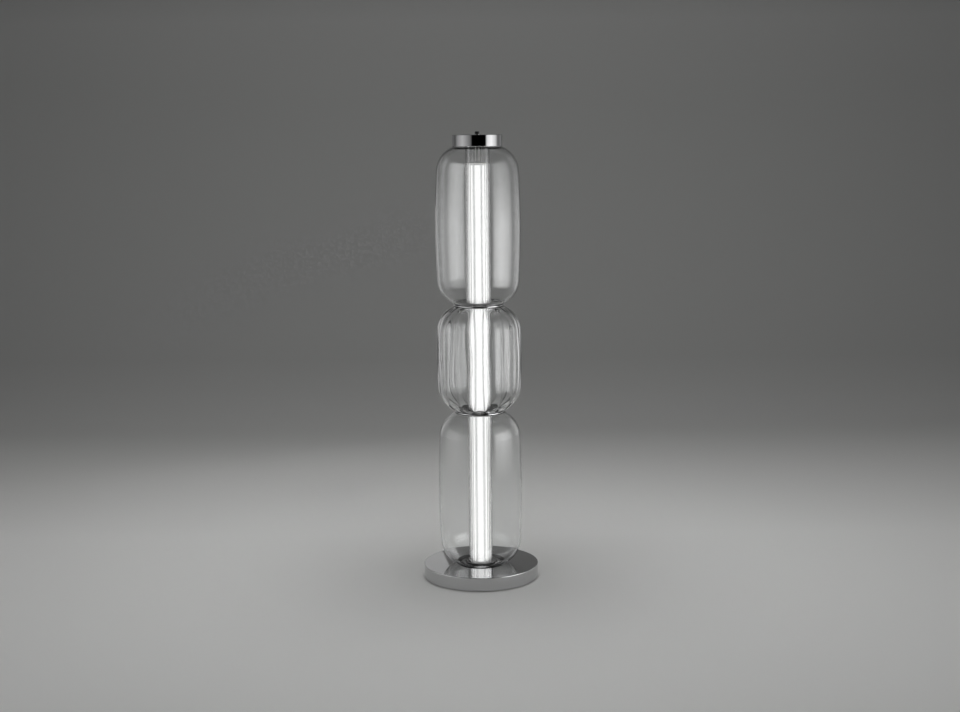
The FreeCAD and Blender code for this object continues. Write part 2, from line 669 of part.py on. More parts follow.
def finial():
    """Threaded knob; a rolled lip below keeps the washer on it, free to turn."""
    bore_r = TUBE_R + RUN_GAP
    knob_r = FINIAL_D / 2
    lip_z1 = CAP_Z1 - FINIAL_LIP_GAP
    lip_z0 = lip_z1 - FINIAL_LIP_T
    bore_z1 = FINIAL_Z1 - FINIAL_ROOF_T
    shape = turned([
        (bore_r, lip_z0), (FINIAL_LIP_D / 2, lip_z0), (FINIAL_LIP_D / 2, lip_z1),
        (FINIAL_SPIGOT_D / 2, lip_z1), (FINIAL_SPIGOT_D / 2, FINIAL_Z0), (knob_r, FINIAL_Z0),
        (knob_r, FINIAL_Z1), (0, FINIAL_Z1), (0, bore_z1), (bore_r, bore_z1)])
    shape = soften(shape, FINIAL_DOME_R, (knob_r, FINIAL_Z1))
    return soften(shape, FINIAL_FOOT_R, (knob_r, FINIAL_Z0))


def lifted(shape, z):
    shape.translate(Vector(0, 0, z))
    return shape


NODES = {
    "foot_ring": foot_ring(),
    "base_plate": base_plate(),
    "base_plate_screws": base_plate_screws(),
    "base_weight": base_weight(),
    "base_cover": base_cover(),
    "cable_gland": cable_gland(),
    "led_driver": led_driver(),
    "driver_screws": driver_screws(),
    "terminal_block": terminal_block(),
    "mains_leads": mains_leads(),
    "tie_tube": tie_tube(),
    "tube_foot_washer": tube_washer(FOOT_NUT_Z1),
    "tube_foot_nut": tube_nut(FOOT_NUT_Z1 - TUBE_NUT_T),
    "led_leads": led_leads(),
    "column_foot": column_foot(),
    "column_foot_nut": tube_nut(FOOT_FLOOR_Z),
    "lower_foot_gasket": gasket(BASE_TOP_Z, 1, LIP_BORE_R),
    "lower_glass": lifted(round_glass(TALL_GLASS_H), LOWER_GLASS_Z0),
    "lower_head_gasket": gasket(LOWER_DISC_Z0, -1),
    "lower_reeded_tube": reeded_tube(FOOT_FLOOR_Z, LOWER_DISC_Z0 - END_GAP),
    "lower_diffuser": diffuser(FOOT_FLOOR_Z, LOWER_DISC_Z0 - END_GAP),
    "lower_led_core": led_core(FOOT_FLOOR_Z, LOWER_DISC_Z0 - END_GAP),
    "lower_led_strips": led_strips(FOOT_FLOOR_Z, LOWER_DISC_Z0 - END_GAP),
    "lower_joint_disc": joint_disc(LOWER_DISC_Z0),
    "middle_foot_gasket": gasket(LOWER_DISC_Z1, 1),
    "middle_glass": lifted(ribbed_glass(SHORT_GLASS_H), MIDDLE_GLASS_Z0),
    "middle_head_gasket": gasket(UPPER_DISC_Z0, -1),
    "middle_reeded_tube": reeded_tube(LOWER_DISC_Z1, UPPER_DISC_Z0 - END_GAP),
    "middle_diffuser": diffuser(LOWER_DISC_Z1, UPPER_DISC_Z0 - END_GAP),
    "middle_led_core": led_core(LOWER_DISC_Z1, UPPER_DISC_Z0 - END_GAP),
    "middle_led_strips": led_strips(LOWER_DISC_Z1, UPPER_DISC_Z0 - END_GAP),
    "upper_joint_disc": joint_disc(UPPER_DISC_Z0),
    "upper_foot_gasket": gasket(UPPER_DISC_Z1, 1),
    "upper_glass": lifted(round_glass(TALL_GLASS_H), UPPER_GLASS_Z0),
    "upper_head_gasket": gasket(SEAT_Z0, -1, SOCKET_R, SEAT_R),
    "upper_reeded_tube": reeded_tube(UPPER_DISC_Z1, SEAT_Z0 - END_GAP),
    "upper_diffuser": diffuser(UPPER_DISC_Z1, UPPER_LIT_Z1),
    "upper_led_core": led_core(UPPER_DISC_Z1, UPPER_CORE_Z1),
    "upper_led_strips": led_strips(UPPER_DISC_Z1, UPPER_CORE_Z1),
    "upper_diffuser_plug": diffuser_plug(),
    "seat_plate": seat_plate(),
    "clamp_washer": tube_washer(SEAT_Z1),
    "clamp_nut": tube_nut(SEAT_Z1 + TUBE_WASHER_T),
    "top_cap": top_cap(),
    "finial_washer": finial_washer(),
    "finial": finial(),
}

os.makedirs("parts", exist_ok=True)
for name, shape in NODES.items():
    shape.exportStep("parts/" + name + ".step")
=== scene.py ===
import math

import bmesh
import bpy
from mathutils import Matrix, Vector


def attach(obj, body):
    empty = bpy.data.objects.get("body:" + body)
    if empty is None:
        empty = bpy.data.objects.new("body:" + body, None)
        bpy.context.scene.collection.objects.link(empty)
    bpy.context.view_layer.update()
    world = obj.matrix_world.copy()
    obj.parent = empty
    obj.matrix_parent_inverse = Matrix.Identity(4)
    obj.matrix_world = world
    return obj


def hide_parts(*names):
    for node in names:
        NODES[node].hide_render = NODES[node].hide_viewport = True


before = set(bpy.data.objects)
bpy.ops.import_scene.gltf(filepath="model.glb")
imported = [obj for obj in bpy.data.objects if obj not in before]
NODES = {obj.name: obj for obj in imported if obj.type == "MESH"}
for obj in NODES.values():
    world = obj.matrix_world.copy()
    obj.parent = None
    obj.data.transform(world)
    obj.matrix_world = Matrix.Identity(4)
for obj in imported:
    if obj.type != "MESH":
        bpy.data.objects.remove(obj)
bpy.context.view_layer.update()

LAMP = "lamp"
MM = 0.001

# Base, in millimetres
BASE_R = 150.0
BASE_TOP = 36.0
COVER_RIM_Z = 1.2
COVER_WALL = 3.0
COVER_TOP_T = 2.5
COVER_EDGE = 1.5
COVER_EDGE_STEPS = 6
COVER_RIM_CHAMFER = 0.4
COVER_HOLE_R = 4.5
INLET_Z = 17.0
INLET_SEAT_R = 7.6
INLET_SEAT_Y = 148.21
INLET_HOLE_R = 5.3
INLET_STEPS = 64
INLET_CUT_DEPTH = 6 * COVER_WALL
INLET_CUT_IN = 4 * COVER_WALL

# Stack levels
LOWER_GLASS_Z = 37.0
LOWER_DISC_Z = 439.0
MIDDLE_GLASS_Z = 444.0
UPPER_DISC_Z = 717.0
UPPER_GLASS_Z = 722.0
SEAT_Z = 1124.0
SEAT_TOP = 1128.0
CAP_TOP = 1152.0
CAP_SKIRT_Z = 1123.4

# Glasses
TALL_H = 401.0
SHORT_H = 272.0
GLASS_R = 109.7
RIM_R = 64.0
MOUTH_R = 58.0
SHOULDER_R = 70.0
BARREL_R = 2350.0
WALL = 4.0
SHOULDER_STEPS = 22
BARREL_STEPS = 18
RIBS = 16
RIB_STEPS = 22
RIB_SHOULDER_STEPS = 18
RIB_BARREL_STEPS = 14
RIB_DEPTH = 4.0
RIB_RIM_DEPTH = 3.2
RIB_INNER_DEPTH = 3.6
RIB_TURN = 180.0 / RIBS
RIB_ROUND = 0.06
RIB_INNER_ROUND = 0.12
BLOWN_WAVE = 1.3
# Share, waves round the glass, height of one radian in millimetres, and phase
BLOWN_WAVES = ((0.6, 5, 48, 0.0), (0.4, 9, -29, 1.3))

# Joint discs and column foot
DISC_R = 63.5
DISC_T = 4.0
DISC_EDGE = 1.9
DISC_EDGE_STEPS = 8
DISC_BEVEL = 0.4
COLLAR_R = 42.0
COLLAR_H = 2.0
SOCKET_R = 31.5
TUBE_HOLE_R = 4.1
FOOT_FLOOR_T = 1.5
FOOT_BEVEL = 0.6

# Light column
REED_R = 31.0
REED_BORE_R = 28.5
REEDS = 32
REED_DEPTH = 1.0
REED_ROUND = 0.06
REED_STEPS = 12
DIFFUSER_R = 28.4
DIFFUSER_WALL = 2.0
COLUMN_FOOT_Z = 37.5
UPPER_LIT_TOP = 1082.0
END_GAP = 0.3

# Cap and finial
CAP_R = 64.0
CAP_SKIRT_R = 61.5
CAP_WALL_R = 58.5
CAP_ROOF_Z = 1149.0
CAP_HOLE_R = 6.0
CAP_BEVEL = 0.8
FINIAL_Z = 1153.2
FINIAL_TOP = 1160.8
FINIAL_R = 6.0
FINIAL_SPIGOT_R = 5.0
FINIAL_LIP_R = 5.6
FINIAL_LIP_Z = 1151.1
FINIAL_LIP_TOP = 1151.9
FINIAL_BORE_R = 4.05
FINIAL_BORE_TOP = 1159.0
FINIAL_DOME = 2.4
FINIAL_DOME_STEPS = 8
FINIAL_CHAMFER = 0.5
WASHER_R = 8.0
WASHER_BORE_R = 5.08
WASHER_BEVEL = 0.3

# Meshing
SPIN_STEPS = 256
SMALL_SPIN_STEPS = 96
MERGE = 1e-6
TURNED_SMOOTH_DEG = 35
GLASS_SMOOTH_DEG = 30
COVER_SMOOTH_DEG = 30
LOBED_SMOOTH_DEG = 50
BEVEL_SEGMENTS = 3
BEVEL_FROM_DEG = 40


# Outlines in the r, z half plane

def arc(cr, cz, radius, start, end, count):
    """Points of an arc; angles in radians from +r towards +z."""
    turns = [start + (end - start) * k / count for k in range(count + 1)]
    return [(cr + radius * math.cos(a), cz + radius * math.sin(a)) for a in turns]


def shoulder_centre(height):
    """Centre of the shoulder arc that leaves the rim and runs into the barrel arc."""
    br, bz = GLASS_R - BARREL_R, height / 2
    dr, dz = RIM_R - br, -bz
    apart = math.hypot(dr, dz)
    reach = BARREL_R - SHOULDER_R
    along = (reach ** 2 - SHOULDER_R ** 2 + apart ** 2) / (2 * apart)
    aside = math.sqrt(reach ** 2 - along ** 2)
    return br + (along * dr - aside * dz) / apart, bz + (along * dz + aside * dr) / apart


def glass_meridian(height, inset, shoulder_count, barrel_count):
    """Points of one glass face from its lower to its upper edge."""
    cr, cz = shoulder_centre(height)
    br, bz = GLASS_R - BARREL_R, height / 2
    end = math.atan2(cz - bz, cr - br)
    if inset:
        start = -math.acos((MOUTH_R - cr) / (SHOULDER_R - inset))
    else:
        start = math.atan2(-cz, RIM_R - cr)
    low = arc(cr, cz, SHOULDER_R - inset, start, end, shoulder_count)
    barrel = arc(br, bz, BARREL_R - inset, end, -end, barrel_count)
    high = [(r, height - z) for r, z in reversed(low)]
    return low + barrel[1:-1] + high


def lifted(points, z):
    return [(r, h + z) for r, h in points]


# Modelling steps

def start_mesh(name, point):
    """New mesh in edit mode that holds one point of an outline."""
    bpy.ops.object.select_all(action="DESELECT")
    bpy.ops.mesh.primitive_plane_add(size=MM)
    piece = bpy.context.object
    piece.name = name
    piece.data.name = name
    bpy.ops.object.mode_set(mode="EDIT")
    bpy.ops.mesh.merge(type="CENTER")
    bpy.ops.transform.translate(value=(point[0] * MM, 0, point[1] * MM))
    return piece


def close_mesh(piece, smooth_deg):
    """Joins and cleans the mesh, turns its faces outwards and leaves edit mode."""
    bpy.ops.mesh.select_all(action="SELECT")
    bpy.ops.mesh.remove_doubles(threshold=MERGE)
    bpy.ops.mesh.select_all(action="SELECT")
    bpy.ops.mesh.delete_loose()
    bpy.ops.mesh.select_all(action="SELECT")
    bpy.ops.mesh.normals_make_consistent(inside=False)
    bpy.ops.object.mode_set(mode="OBJECT")
    bpy.ops.object.shade_smooth_by_angle(angle=math.radians(smooth_deg))
    return piece


def spun(name, outline, steps, smooth_deg=TURNED_SMOOTH_DEG):
    """Closed outline drawn by extruding points, then spun about the lamp's axis."""
    piece = start_mesh(name, outline[0])
    for (r0, z0), (r1, z1) in zip(outline, outline[1:] + outline[:1]):
        step = ((r1 - r0) * MM, 0, (z1 - z0) * MM)
        bpy.ops.mesh.extrude_vertices_move(TRANSFORM_OT_translate={"value": step})
    bpy.ops.mesh.select_all(action="SELECT")
    bpy.ops.mesh.remove_doubles(threshold=MERGE)
    bpy.ops.mesh.select_all(action="SELECT")
    bpy.ops.mesh.spin(steps=steps, angle=math.tau, center=(0, 0, 0), axis=(0, 0, 1))
    return close_mesh(piece, smooth_deg)


def bevelled(piece, width):
    """Rounds every hard edge of a finished turning."""
    bevel = piece.modifiers.new("edge_round", "BEVEL")
    bevel.width = width * MM
    bevel.segments = BEVEL_SEGMENTS
    bevel.limit_method = "ANGLE"
    bevel.angle_limit = math.radians(BEVEL_FROM_DEG)
    bevel.harden_normals = False
    bpy.context.view_layer.objects.active = piece
    bpy.ops.object.modifier_apply(modifier=bevel.name)
    return piece


def lobe(angle, count, rounding):
    """1 on a crest, near 0 in a valley, with a rounded valley."""
    wave = math.cos(count * angle / 2)
    return (math.sqrt(wave * wave + rounding ** 2) - rounding) / (math.sqrt(1 + rounding ** 2) - rounding)


def blown_wave(angle, z):
    """Slow uneven wave of a hand-blown inner face, from -1 to 1."""
    return sum(
        share * math.sin(count * angle + z / pitch + phase) for share, count, pitch, phase in BLOWN_WAVES)


def place_ring(piece, station, count, turn):
    """Moves the selected ring to its station: radius, height, lobe depth, valley rounding and wave."""
    r, z, depth, rounding, wave = station
    mesh = bmesh.from_edit_mesh(piece.data)
    for vert in mesh.verts:
        if vert.select:
            a = math.atan2(vert.co.y, vert.co.x)
            share = lobe(a + math.pi / 2 - turn - math.pi / count, count, rounding)
            reach = (r - depth * (1 - share) - wave * (1 + blown_wave(a, z)) / 2) * MM
            vert.co = Vector((reach * math.cos(a), reach * math.sin(a), z * MM))
    bmesh.update_edit_mesh(piece.data)


def lobed_tube(name, outer, inner, lobe_steps, count, turn):
    """Tube raised from a circle: up the outer stations, down the inner ones and back to the start."""
    piece = start_mesh(name, (0, 0))
    bpy.ops.mesh.delete(type="VERT")
    bpy.ops.mesh.primitive_circle_add(vertices=count * lobe_steps, radius=outer[0][0] * MM)
    place_ring(piece, outer[0], count, turn)
    for station in outer[1:] + inner[::-1] + outer[:1]:
        bpy.ops.mesh.extrude_region_move(TRANSFORM_OT_translate={"value": (0, 0, MM)})
        place_ring(piece, station, count, turn)
    return close_mesh(piece, LOBED_SMOOTH_DEG)


# Pieces

def blown_glass(name, z):
    outer = glass_meridian(TALL_H, 0, SHOULDER_STEPS, BARREL_STEPS)
    inner = glass_meridian(TALL_H, WALL, SHOULDER_STEPS, BARREL_STEPS)
    mouth = [(MOUTH_R, TALL_H)] + inner[::-1] + [(MOUTH_R, 0)]
    return spun(name, lifted(outer + mouth, z), SPIN_STEPS, GLASS_SMOOTH_DEG)


def ribbed_face(z, inset, edge_depth, belly_depth, rounding, belly_wave):
    """Stations of a ribbed face; ribs and wave fade along both shoulders."""
    face = lifted(glass_meridian(SHORT_H, inset, RIB_SHOULDER_STEPS, RIB_BARREL_STEPS), z)
    last = len(face) - 1
    shares = [min(1.0, min(k, last - k) / RIB_SHOULDER_STEPS) for k in range(last + 1)]
    grown = [math.sin(share * math.pi / 2) for share in shares]
    return [
        (r, h, edge_depth + (belly_depth - edge_depth) * grow, rounding, belly_wave * grow)
        for (r, h), grow in zip(face, grown)]


def ribbed_glass(name, z):
    outer = ribbed_face(z, 0, RIB_RIM_DEPTH, RIB_DEPTH, RIB_ROUND, 0)
    inner = ribbed_face(z, WALL, 0, RIB_INNER_DEPTH, RIB_INNER_ROUND, BLOWN_WAVE)
    inner = [(MOUTH_R, z, 0, 0, 0)] + inner + [(MOUTH_R, z + SHORT_H, 0, 0, 0)]
    return lobed_tube(name, outer, inner, RIB_STEPS, RIBS, math.radians(RIB_TURN))


def reeded_tube(name, z0, z1):
    outer = [(REED_R, z, REED_DEPTH, REED_ROUND, 0) for z in (z0, z1)]
    inner = [(REED_BORE_R, z, 0, 0, 0) for z in (z0, z1)]
    return lobed_tube(name, outer, inner, REED_STEPS, REEDS, 0)


def diffuser(name, z0, z1):
    bore = DIFFUSER_R - DIFFUSER_WALL
    outline = [(DIFFUSER_R, z0), (DIFFUSER_R, z1), (bore, z1), (bore, z0)]
    return spun(name, outline, SMALL_SPIN_STEPS)


def joint_disc(name, z0):
    z1 = z0 + DISC_T
    edge_r = DISC_R - DISC_EDGE
    low_edge = arc(edge_r, z0 + DISC_EDGE, DISC_EDGE, -math.pi / 2, 0, DISC_EDGE_STEPS)
    high_edge = arc(edge_r, z1 - DISC_EDGE, DISC_EDGE, 0, math.pi / 2, DISC_EDGE_STEPS)
    outline = [(TUBE_HOLE_R, z0)] + low_edge + high_edge + [(TUBE_HOLE_R, z1)]
    return bevelled(spun(name, outline, SPIN_STEPS), DISC_BEVEL)


def column_foot(name):
    floor = BASE_TOP + FOOT_FLOOR_T
    top = floor + COLLAR_H
    outline = [
        (TUBE_HOLE_R, BASE_TOP), (COLLAR_R, BASE_TOP), (COLLAR_R, top), (SOCKET_R, top),
        (SOCKET_R, floor), (TUBE_HOLE_R, floor)]
    return bevelled(spun(name, outline, SPIN_STEPS), FOOT_BEVEL)


def base_cover(name):
    rim_r = BASE_R - COVER_WALL
    under = BASE_TOP - COVER_TOP_T
    edge = arc(
        BASE_R - COVER_EDGE, BASE_TOP - COVER_EDGE, COVER_EDGE, 0, math.pi / 2, COVER_EDGE_STEPS)
    outline = [
        (COVER_HOLE_R, under), (rim_r, under), (rim_r, COVER_RIM_Z),
        (BASE_R - COVER_RIM_CHAMFER, COVER_RIM_Z), (BASE_R, COVER_RIM_Z + COVER_RIM_CHAMFER)]
    cover = spun(name, outline + edge + [(COVER_HOLE_R, BASE_TOP)], SPIN_STEPS)
    # The cutters are turned half a step so that no corner of theirs meets an edge of the cover
    for radius, y0 in ((INLET_SEAT_R, INLET_SEAT_Y), (INLET_HOLE_R, INLET_SEAT_Y - INLET_CUT_IN)):
        bpy.ops.object.select_all(action="DESELECT")
        bpy.ops.mesh.primitive_cylinder_add(
            vertices=INLET_STEPS, radius=radius * MM, depth=INLET_CUT_DEPTH * MM,
            location=(0, (y0 + INLET_CUT_DEPTH / 2) * MM, INLET_Z * MM),
            rotation=(math.pi / 2, math.pi / INLET_STEPS, 0))
        cutter = bpy.context.object
        cut = cover.modifiers.new("inlet", "BOOLEAN")
        cut.operation = "DIFFERENCE"
        cut.solver = "EXACT"
        cut.object = cutter
        bpy.context.view_layer.objects.active = cover
        bpy.ops.object.modifier_apply(modifier=cut.name)
        bpy.data.objects.remove(cutter)
    bpy.ops.object.select_all(action="DESELECT")
    cover.select_set(True)
    bpy.ops.object.shade_smooth_by_angle(angle=math.radians(COVER_SMOOTH_DEG))
    return cover


def top_cap(name):
    outline = [
        (CAP_HOLE_R, CAP_TOP), (CAP_HOLE_R, CAP_ROOF_Z), (CAP_WALL_R, CAP_ROOF_Z),
        (CAP_WALL_R, SEAT_TOP), (CAP_SKIRT_R, SEAT_TOP), (CAP_SKIRT_R, CAP_SKIRT_Z),
        (CAP_R, CAP_SKIRT_Z), (CAP_R, CAP_TOP)]
    return bevelled(spun(name, outline, SPIN_STEPS), CAP_BEVEL)


def finial(name):
    dome = arc(
        FINIAL_R - FINIAL_DOME, FINIAL_TOP - FINIAL_DOME, FINIAL_DOME, 0, math.pi / 2, FINIAL_DOME_STEPS)
    outline = [
        (0, FINIAL_BORE_TOP), (FINIAL_BORE_R, FINIAL_BORE_TOP), (FINIAL_BORE_R, FINIAL_LIP_Z),
        (FINIAL_LIP_R, FINIAL_LIP_Z), (FINIAL_LIP_R, FINIAL_LIP_TOP),
        (FINIAL_SPIGOT_R, FINIAL_LIP_TOP), (FINIAL_SPIGOT_R, FINIAL_Z),
        (FINIAL_R - FINIAL_CHAMFER, FINIAL_Z), (FINIAL_R, FINIAL_Z + FINIAL_CHAMFER)]
    return spun(name, outline + dome + [(0, FINIAL_TOP)], SMALL_SPIN_STEPS)


def finial_washer(name):
    outline = [
        (WASHER_BORE_R, CAP_TOP), (WASHER_R, CAP_TOP), (WASHER_R, FINIAL_Z), (WASHER_BORE_R, FINIAL_Z)]
    return bevelled(spun(name, outline, SMALL_SPIN_STEPS), WASHER_BEVEL)


# Shader node groups

def new_group(name, inputs, outputs):
    """Empty shader group with the given sockets, each a label and a kind."""
    group = bpy.data.node_groups.new(name, "ShaderNodeTree")
    for way, sockets in (("INPUT", inputs), ("OUTPUT", outputs)):
        for label, kind in sockets:
            group.interface.new_socket(label, in_out=way, socket_type="NodeSocket" + kind)
    nodes = group.nodes
    return group, nodes, nodes.new("NodeGroupInput"), nodes.new("NodeGroupOutput")


def noise(nodes, links, vector, scale, detail):
    node = nodes.new("ShaderNodeTexNoise")
    node.inputs["Scale"].default_value = scale
    node.inputs["Detail"].default_value = detail
    links.new(vector, node.inputs["Vector"])
    return node.outputs["Fac"]


def feed(links, socket, value):
    """Links a node's output to the socket, or sets a plain value on it."""
    if isinstance(value, bpy.types.NodeSocket):
        links.new(value, socket)
    else:
        socket.default_value = value


def span(nodes, links, value, low, high, to_low, to_high):
    """Carries a value from the range low to high over to another range, and holds it there."""
    node = nodes.new("ShaderNodeMapRange")
    given = {"Value": value, "From Min": low, "From Max": high, "To Min": to_low, "To Max": to_high}
    for label, number in given.items():
        feed(links, node.inputs[label], number)
    return node.outputs["Result"]


def blended(nodes, links, factor, first, second):
    """Colour between two colours."""
    node = nodes.new("ShaderNodeMix")
    node.data_type = "RGBA"
    for label, value in (("Factor", factor), ("A", first), ("B", second)):
        feed(links, node.inputs[label], value)
    return node.outputs["Result"]


def stretched(nodes, links, vector, scale):
    node = nodes.new("ShaderNodeMapping")
    node.inputs["Scale"].default_value = scale
    links.new(vector, node.inputs["Vector"])
    return node.outputs["Vector"]


def axes(nodes, links, vector):
    """The X, Y and Z outputs of a vector."""
    node = nodes.new("ShaderNodeSeparateXYZ")
    links.new(vector, node.inputs["Vector"])
    return node.outputs


def polish_group():
    """Roughness of a polished surface with faint smears, and a fine height."""
    group, nodes, given, made = new_group(
        "polish_haze", [("Vector", "Vector"), ("Clean", "Float"), ("Smeared", "Float")],
        [("Roughness", "Float"), ("Height", "Float")])
    links = group.links
    smear = noise(nodes, links, given.outputs["Vector"], 14.0, 5.0)
    rough = span(nodes, links, smear, 0.45, 0.75, given.outputs["Clean"], given.outputs["Smeared"])
    links.new(rough, made.inputs["Roughness"])
    fine = noise(nodes, links, stretched(nodes, links, given.outputs["Vector"], (1, 1, 0.2)), 900.0, 2.0)
    links.new(fine, made.inputs["Height"])
    return group


def ripple_group():
    """Slow waves of blown or drawn glass, longer along the lamp's axis."""
    group, nodes, given, made = new_group(
        "glass_ripple", [("Vector", "Vector")], [("Height", "Float")])
    links = group.links
    wave = noise(nodes, links, stretched(nodes, links, given.outputs["Vector"], (1, 1, 0.35)), 16.0, 1.0)
    links.new(wave, made.inputs["Height"])
    return group


def grain_group():
    """Fine mottle for cast, moulded and plated surfaces."""
    group, nodes, given, made = new_group(
        "surface_grain",
        [("Vector", "Vector"), ("Dark", "Color"), ("Light", "Color"), ("Smooth", "Float"),
         ("Rough", "Float")],
        [("Color", "Color"), ("Roughness", "Float"), ("Height", "Float")])
    links = group.links
    grain = noise(nodes, links, given.outputs["Vector"], 420.0, 4.0)
    cloud = noise(nodes, links, given.outputs["Vector"], 35.0, 3.0)
    mottle = span(nodes, links, cloud, 0.35, 0.65, 0.0, 1.0)
    color = blended(nodes, links, mottle, given.outputs["Dark"], given.outputs["Light"])
    links.new(color, made.inputs["Color"])
    rough = span(nodes, links, grain, 0.3, 0.7, given.outputs["Smooth"], given.outputs["Rough"])
    links.new(rough, made.inputs["Roughness"])
    links.new(grain, made.inputs["Height"])
    return group


POLISH = polish_group()
RIPPLE = ripple_group()
GRAIN = grain_group()


# Materials

HAZE_CLEAN = 0.05
HAZE_SMEARED = 0.09
SHADOW_TINT = (0.93, 0.94, 0.94, 1)
SATIN_ROUGHNESS = 0.45
GLOW_COOL = (0.95, 0.955, 0.95, 1)
GLOW_WARM = (1.0, 0.995, 0.985, 1)


def new_material(name):
    mat = bpy.data.materials.new(name)
    mat.use_nodes = True
    nodes = mat.node_tree.nodes
    links = mat.node_tree.links
    coords = nodes.new("ShaderNodeTexCoord")
    return mat, nodes, links, nodes["Principled BSDF"], coords.outputs["Object"]


def use_group(nodes, links, group, vector, **values):
    node = nodes.new("ShaderNodeGroup")
    node.node_tree = group
    links.new(vector, node.inputs["Vector"])
    for label, value in values.items():
        node.inputs[label].default_value = value
    return node


def bump(nodes, links, height, shader, strength, distance):
    node = nodes.new("ShaderNodeBump")
    node.inputs["Strength"].default_value = strength
    node.inputs["Distance"].default_value = distance
    links.new(height, node.inputs["Height"])
    links.new(node.outputs["Normal"], shader.inputs["Normal"])


def chrome(name, tone):
    mat, nodes, links, shader, vector = new_material(name)
    shader.inputs["Base Color"].default_value = (*tone, 1)
    shader.inputs["Metallic"].default_value = 1.0
    haze = use_group(nodes, links, POLISH, vector, Clean=HAZE_CLEAN, Smeared=HAZE_SMEARED)
    links.new(haze.outputs["Roughness"], shader.inputs["Roughness"])
    bump(nodes, links, haze.outputs["Height"], shader, 0.02, 0.0002)
    return mat


def clear(name, tone, ior, ripple, distance):
    """Clear glass or acrylic that casts only a faint shadow on what is inside."""
    mat, nodes, links, shader, vector = new_material(name)
    shader.inputs["Base Color"].default_value = (*tone, 1)
    shader.inputs["Roughness"].default_value = 0.0
    shader.inputs["IOR"].default_value = ior
    shader.inputs["Transmission Weight"].default_value = 1.0
    wave = use_group(nodes, links, RIPPLE, vector)
    bump(nodes, links, wave.outputs["Height"], shader, ripple, distance)
    through = nodes.new("ShaderNodeBsdfTransparent")
    through.inputs["Color"].default_value = SHADOW_TINT
    path = nodes.new("ShaderNodeLightPath")
    mix = nodes.new("ShaderNodeMixShader")
    links.new(path.outputs["Is Shadow Ray"], mix.inputs["Fac"])
    links.new(shader.outputs["BSDF"], mix.inputs[1])
    links.new(through.outputs["BSDF"], mix.inputs[2])
    links.new(mix.outputs["Shader"], nodes["Material Output"].inputs["Surface"])
    return mat


def lit(name, tone, strength, alpha=1.0):
    """Plastic that glows evenly, with a faint cloud in its light."""
    mat, nodes, links, shader, vector = new_material(name)
    shader.inputs["Base Color"].default_value = (*tone, 1)
    shader.inputs["Roughness"].default_value = SATIN_ROUGHNESS
    shader.inputs["Alpha"].default_value = alpha
    shader.inputs["Emission Strength"].default_value = strength
    cloud = noise(nodes, links, vector, 40.0, 2.0)
    links.new(blended(nodes, links, cloud, GLOW_COOL, GLOW_WARM), shader.inputs["Emission Color"])
    return mat


def grained(name, dark, light, smooth, rough, metallic=0.0, height=0.0002, sheen=0.5):
    """Surface mottled between two tones and two roughnesses."""
    mat, nodes, links, shader, vector = new_material(name)
    shader.inputs["Metallic"].default_value = metallic
    shader.inputs["Specular IOR Level"].default_value = sheen
    grain = use_group(
        nodes, links, GRAIN, vector, Dark=(*dark, 1), Light=(*light, 1), Smooth=smooth, Rough=rough)
    links.new(grain.outputs["Color"], shader.inputs["Base Color"])
    links.new(grain.outputs["Roughness"], shader.inputs["Roughness"])
    bump(nodes, links, grain.outputs["Height"], shader, 0.25, height)
    return mat


CHROME = chrome("polished_chrome", (0.56, 0.56, 0.565))
BLACK_NICKEL = chrome("black_nickel", (0.07, 0.07, 0.072))
GLASS = clear("blown_glass", (0.985, 0.99, 0.99), 1.5, 0.04, 0.0015)
RIB_GLASS = clear("mould_blown_glass", (0.985, 0.99, 0.99), 1.5, 0.03, 0.0015)
ACRYLIC = clear("clear_acrylic", (0.985, 0.985, 0.985), 1.49, 0.03, 0.0006)
SATIN = lit("satin_acrylic", (0.3, 0.3, 0.295), 0.70, alpha=0.2)
LIGHT = lit("light_strip_lens", (0.3, 0.3, 0.295), 1.3)
PLUG_WHITE = grained("white_plastic", (0.80, 0.80, 0.78), (0.86, 0.86, 0.84), 0.4, 0.5)
SILICONE = grained(
    "black_silicone", (0.0012, 0.0012, 0.0012), (0.0024, 0.0024, 0.0024), 0.5, 0.65, sheen=0.0)
RUBBER = grained("black_rubber", (0.018, 0.018, 0.018), (0.035, 0.035, 0.035), 0.6, 0.8)
ZINC = grained("zinc_plate", (0.48, 0.48, 0.47), (0.62, 0.62, 0.60), 0.22, 0.38, metallic=1.0)
CAST = grained("cast_iron", (0.07, 0.07, 0.07), (0.13, 0.125, 0.12), 0.6, 0.85, height=0.0008)
LACQUER = grained("black_lacquer", (0.02, 0.02, 0.02), (0.035, 0.035, 0.035), 0.35, 0.5)
CASE_WHITE = grained("driver_case", (0.72, 0.72, 0.70), (0.80, 0.80, 0.78), 0.45, 0.6)
NYLON = grained("natural_nylon", (0.70, 0.69, 0.64), (0.80, 0.79, 0.75), 0.4, 0.55)
SHEATH = grained("lead_sheath", (0.70, 0.70, 0.68), (0.78, 0.78, 0.76), 0.3, 0.45)
EXTRUSION = grained("extruded_aluminium", (0.60, 0.60, 0.61), (0.74, 0.74, 0.75), 0.25, 0.4, metallic=1.0)
ANODISED = grained("black_anodised", (0.004, 0.004, 0.004), (0.008, 0.008, 0.008), 0.3, 0.42, sheen=0.1)


def finished(piece, node, material, body=LAMP):
    """Puts a new piece in the place of its CAD solid."""
    piece.data.materials.clear()
    piece.data.materials.append(material)
    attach(piece, body)
    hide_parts(node)


